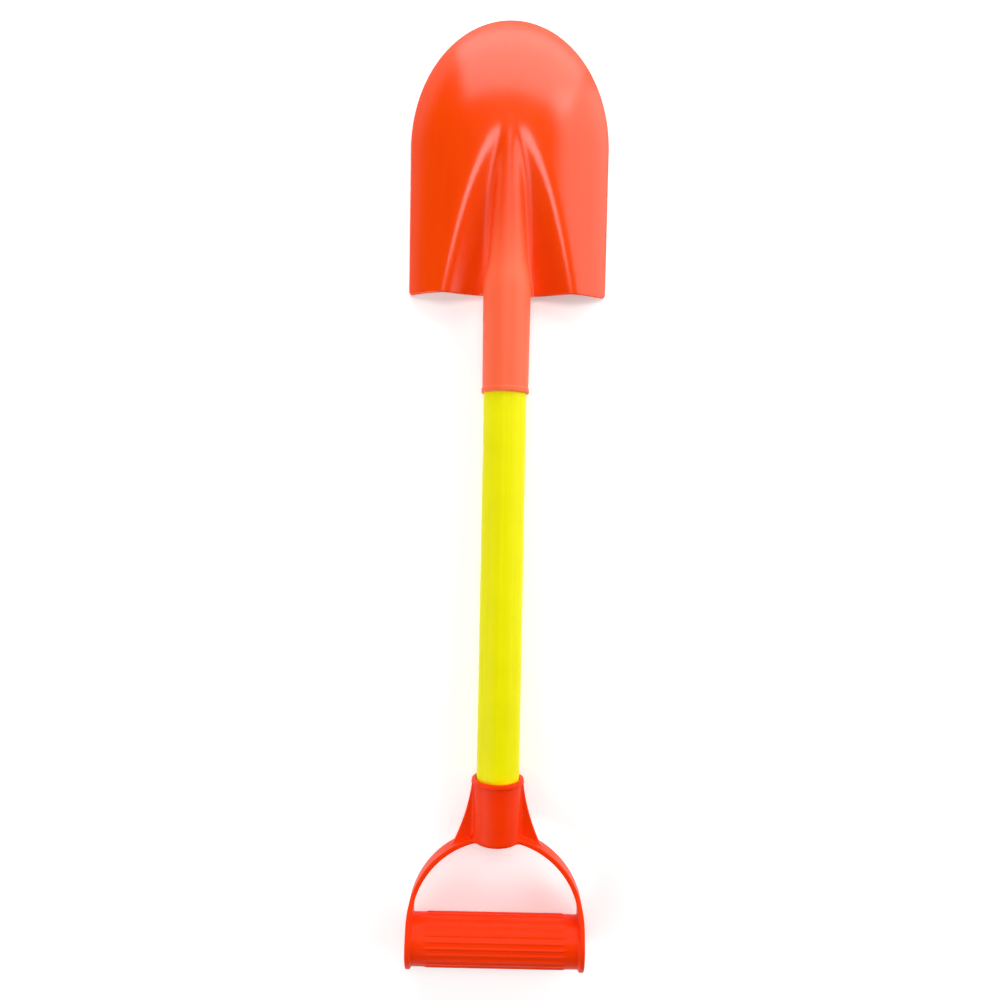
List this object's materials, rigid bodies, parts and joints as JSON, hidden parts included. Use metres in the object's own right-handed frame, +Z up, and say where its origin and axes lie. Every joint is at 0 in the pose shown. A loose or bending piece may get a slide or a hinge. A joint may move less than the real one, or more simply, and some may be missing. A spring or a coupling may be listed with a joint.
{
  "type": "sand shovel",
  "caption": "Child's sand shovel: pointed, domed scoop blade with a moulded socket, straight plastic tube handle and a D-grip with a ribbed bar.",
  "frame": {"origin": "on the ground under the middle of the whole shovel, which lies on the open side of its blade", "axes": "+Z up from the ground, out of the back of the blade; +Y along the handle from the grip to the tip of the blade; X across, and the shovel is symmetric in X"},
  "size_m": [0.12, 0.5648, 0.032],
  "materials": {
    "orange_moulding": "semi-gloss injection-moulded polypropylene, orange-red",
    "yellow_tube": "satin extruded plastic tube, lemon yellow"
  },
  "bodies": {
    "root": {"shovel_blade": "orange_moulding", "handle_tube": "yellow_tube", "d_grip": "orange_moulding"}
  },
  "joints": []
}
